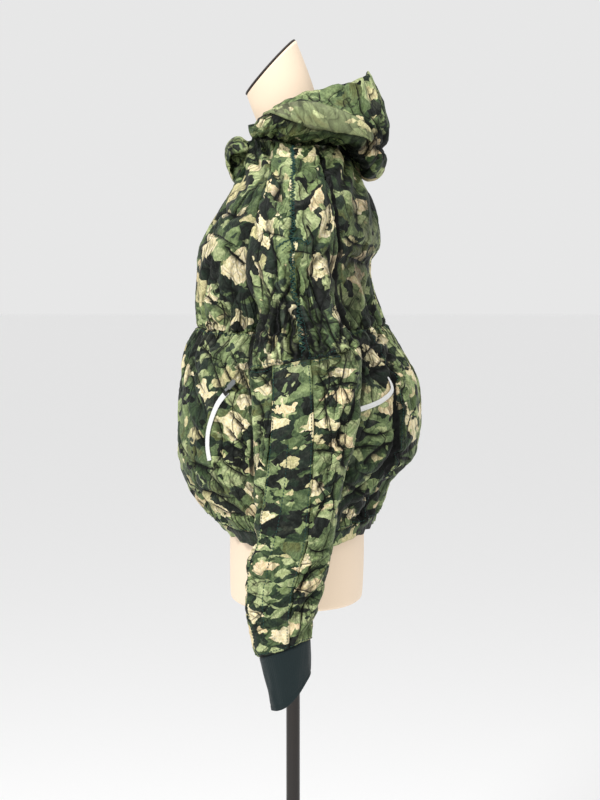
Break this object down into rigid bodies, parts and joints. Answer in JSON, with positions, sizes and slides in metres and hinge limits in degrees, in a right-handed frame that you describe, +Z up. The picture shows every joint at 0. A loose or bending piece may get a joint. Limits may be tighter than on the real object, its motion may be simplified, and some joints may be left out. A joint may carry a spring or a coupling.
{
  "type": "pullover jacket on dress form",
  "caption": "Hooded pullover jacket with raglan sleeves, knitted cuffs and zipped pockets, worn by a limbless dress form on a pole and round foot.",
  "frame": {"origin": "centre of the underside of the round foot, on the floor", "axes": "+Z up, the front of the jacket faces -Y, the wearer's left is +X"},
  "size_m": [0.612, 0.4, 1.5394],
  "materials": {
    "camouflage_nylon": null,
    "hood_band": "same crinkled nylon, a light part of the print, rolled smooth",
    "cuff_knit": "fine dark teal knit, matte",
    "zip_tape": "white woven zip tape, matte",
    "zip_slider": "black enamel, satin",
    "pull_tab": "dark grey moulded tab",
    "form_jersey": "smooth beige jersey cover",
    "form_trim": "narrow black binding",
    "form_pole": "dark brown, satin",
    "form_foot": "dark brown, satin"
  },
  "bodies": {
    "jacket_on_form": {"back_lower": "camouflage_nylon", "back_upper": "camouflage_nylon", "collar_corner_L": "camouflage_nylon", "collar_corner_R": "camouflage_nylon", "cuff_L": "cuff_knit", "cuff_R": "cuff_knit", "form_foot": "form_foot", "form_neck_trim": "form_trim", "form_pole": "form_pole", "form_torso": "form_jersey", "front_lower": "camouflage_nylon", "front_upper": "camouflage_nylon", "hem_back": "camouflage_nylon", "hem_front": "camouflage_nylon", "hood_L": "camouflage_nylon", "hood_R": "camouflage_nylon", "hood_hem_L": "hood_band", "hood_hem_R": "hood_band", "pocket_slider_L": "zip_slider", "pocket_slider_R": "zip_slider", "pocket_zip_L": "zip_tape", "pocket_zip_R": "zip_tape", "rear_slider_L": "zip_slider", "rear_slider_R": "zip_slider", "rear_zip_L": "zip_tape", "rear_zip_R": "zip_tape", "side_lower_L": "camouflage_nylon", "side_lower_R": "camouflage_nylon", "sleeve_lower_L": "camouflage_nylon", "sleeve_lower_R": "camouflage_nylon", "sleeve_strip_L": "camouflage_nylon", "sleeve_strip_R": "camouflage_nylon", "sleeve_upper_back_L": "camouflage_nylon", "sleeve_upper_back_R": "camouflage_nylon", "sleeve_upper_front_L": "camouflage_nylon", "sleeve_upper_front_R": "camouflage_nylon"},
    "pocket_tab_L": {"pocket_pull_L": "pull_tab"},
    "pocket_tab_R": {"pocket_pull_R": "pull_tab"},
    "rear_tab_L": {"rear_pull_L": "pull_tab"},
    "rear_tab_R": {"rear_pull_R": "pull_tab"}
  },
  "joints": [
    {"name": "pocket_tab_L_hinge", "type": "hinge", "parent": "jacket_on_form", "child": "pocket_tab_L", "pos_m": [0.193, -0.09011, 1.04778], "axis": [0.5015, 0.5182, -0.6928], "range_deg": [0, 160]},
    {"name": "pocket_tab_R_hinge", "type": "hinge", "parent": "jacket_on_form", "child": "pocket_tab_R", "pos_m": [-0.193, -0.09011, 1.04778], "axis": [0.5015, -0.5182, 0.6928], "range_deg": [0, 160]},
    {"name": "rear_tab_L_hinge", "type": "hinge", "parent": "jacket_on_form", "child": "rear_tab_L", "pos_m": [0.2102, 0.07483, 1.01883], "axis": [-0.0433, -0.193, 0.9802], "range_deg": [0, 160]},
    {"name": "rear_tab_R_hinge", "type": "hinge", "parent": "jacket_on_form", "child": "rear_tab_R", "pos_m": [-0.2102, 0.07483, 1.01883], "axis": [-0.0433, 0.193, -0.9802], "range_deg": [0, 160]}
  ]
}
